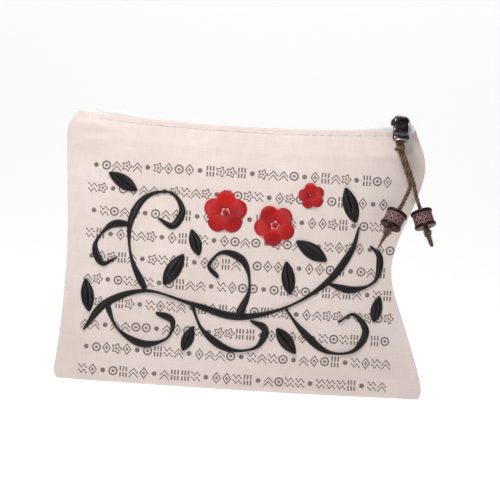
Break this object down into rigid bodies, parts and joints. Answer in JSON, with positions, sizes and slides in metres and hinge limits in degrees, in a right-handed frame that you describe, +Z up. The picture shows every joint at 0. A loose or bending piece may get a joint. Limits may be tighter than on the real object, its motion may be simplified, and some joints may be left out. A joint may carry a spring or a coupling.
{
  "type": "zip pouch",
  "caption": "Flat stuffed-looking canvas zip pouch for game cards, with raised embroidery, a coil zip along its mouth, and a cord charm with wooden beads on the zip's tab",
  "frame": {"origin": "middle of the base that the pouch stands on", "axes": "X along the mouth towards the closed end of the zip, +Y from front to back, Z up"},
  "size_m": [0.2247, 0.0428, 0.1724],
  "materials": {
    "canvas": "natural cotton canvas, plain weave, printed front",
    "zip_tape": "woven white polyester tape",
    "zip_coil": "white nylon",
    "sewing_thread": "natural cotton thread",
    "gunmetal": "polished gunmetal plating",
    "hemp": "twisted hemp",
    "bead_wood": "dark stained wood, carved band",
    "black_thread": "black rayon satin stitch",
    "red_thread": "red rayon satin stitch"
  },
  "bodies": {
    "pouch": {"front_panel": "canvas", "back_panel": "canvas", "zip_tape_front": "zip_tape", "zip_tape_back": "zip_tape", "zip_coil_front": "zip_coil", "zip_coil_back": "zip_coil", "topstitch_front": "sewing_thread", "topstitch_back": "sewing_thread", "zip_top_stops": "zip_coil", "zip_bottom_stop": "zip_coil", "embroidery_black": "black_thread", "embroidery_red": "red_thread"},
    "slider": {"slider_body": "gunmetal", "slider_crown": "gunmetal", "slider_lock_spring": "gunmetal"},
    "tab": {"pull_tab": "gunmetal"},
    "hitch": {"cord_hitch": "hemp"},
    "stem": {"cord_stem": "hemp"},
    "strand_left": {"cord_left": "hemp", "knot_left": "hemp"},
    "strand_right": {"cord_right": "hemp", "knot_right": "hemp"},
    "bead_left": {"bead_left": "bead_wood"},
    "bead_right": {"bead_right": "bead_wood"}
  },
  "joints": [
    {"name": "zip_slide", "type": "hinge", "parent": "pouch", "child": "slider", "pos_m": [-0.002, 0, 0.6575], "axis": [0, 1, 0], "range_deg": [0, 20.1], "deforming": ["zip_coil_front", "zip_coil_back", "zip_tape_front", "zip_tape_back"]},
    {"name": "pull_flip", "type": "hinge", "parent": "slider", "child": "tab", "pos_m": [0.08873, 0, 0.17063], "axis": [-1, 0, 0], "range_deg": [0, 120]},
    {"name": "charm_hang", "type": "hinge", "parent": "tab", "child": "hitch", "pos_m": [0.08873, -0.01286, 0.15598], "axis": [-1, 0, 0], "range_deg": [-120, 0]},
    {"name": "charm_sway", "type": "hinge", "parent": "hitch", "child": "stem", "pos_m": [0.08873, -0.01396, 0.15156], "axis": [0, 1, 0], "range_deg": [-30, 30]},
    {"name": "swing_left", "type": "hinge", "parent": "stem", "child": "strand_left", "pos_m": [0.09524, -0.01674, 0.12576], "axis": [0, 1, 0], "range_deg": [-2, 20]},
    {"name": "swing_right", "type": "hinge", "parent": "stem", "child": "strand_right", "pos_m": [0.09895, -0.01689, 0.12555], "axis": [0, 1, 0], "range_deg": [-20, 2]},
    {"name": "spin_left", "type": "hinge", "parent": "strand_left", "child": "bead_left", "pos_m": [0.0868, -0.0216, 0.1088], "axis": [-0.4316, -0.2484, -0.8672], "continuous": true},
    {"name": "spin_right", "type": "hinge", "parent": "strand_right", "child": "bead_right", "pos_m": [0.1042, -0.0216, 0.1101], "axis": [0.3093, -0.2774, -0.9096], "continuous": true}
  ],
  "couplings": [
    {"joint": "charm_hang", "follows": "pull_flip", "ratio": -1}
  ]
}
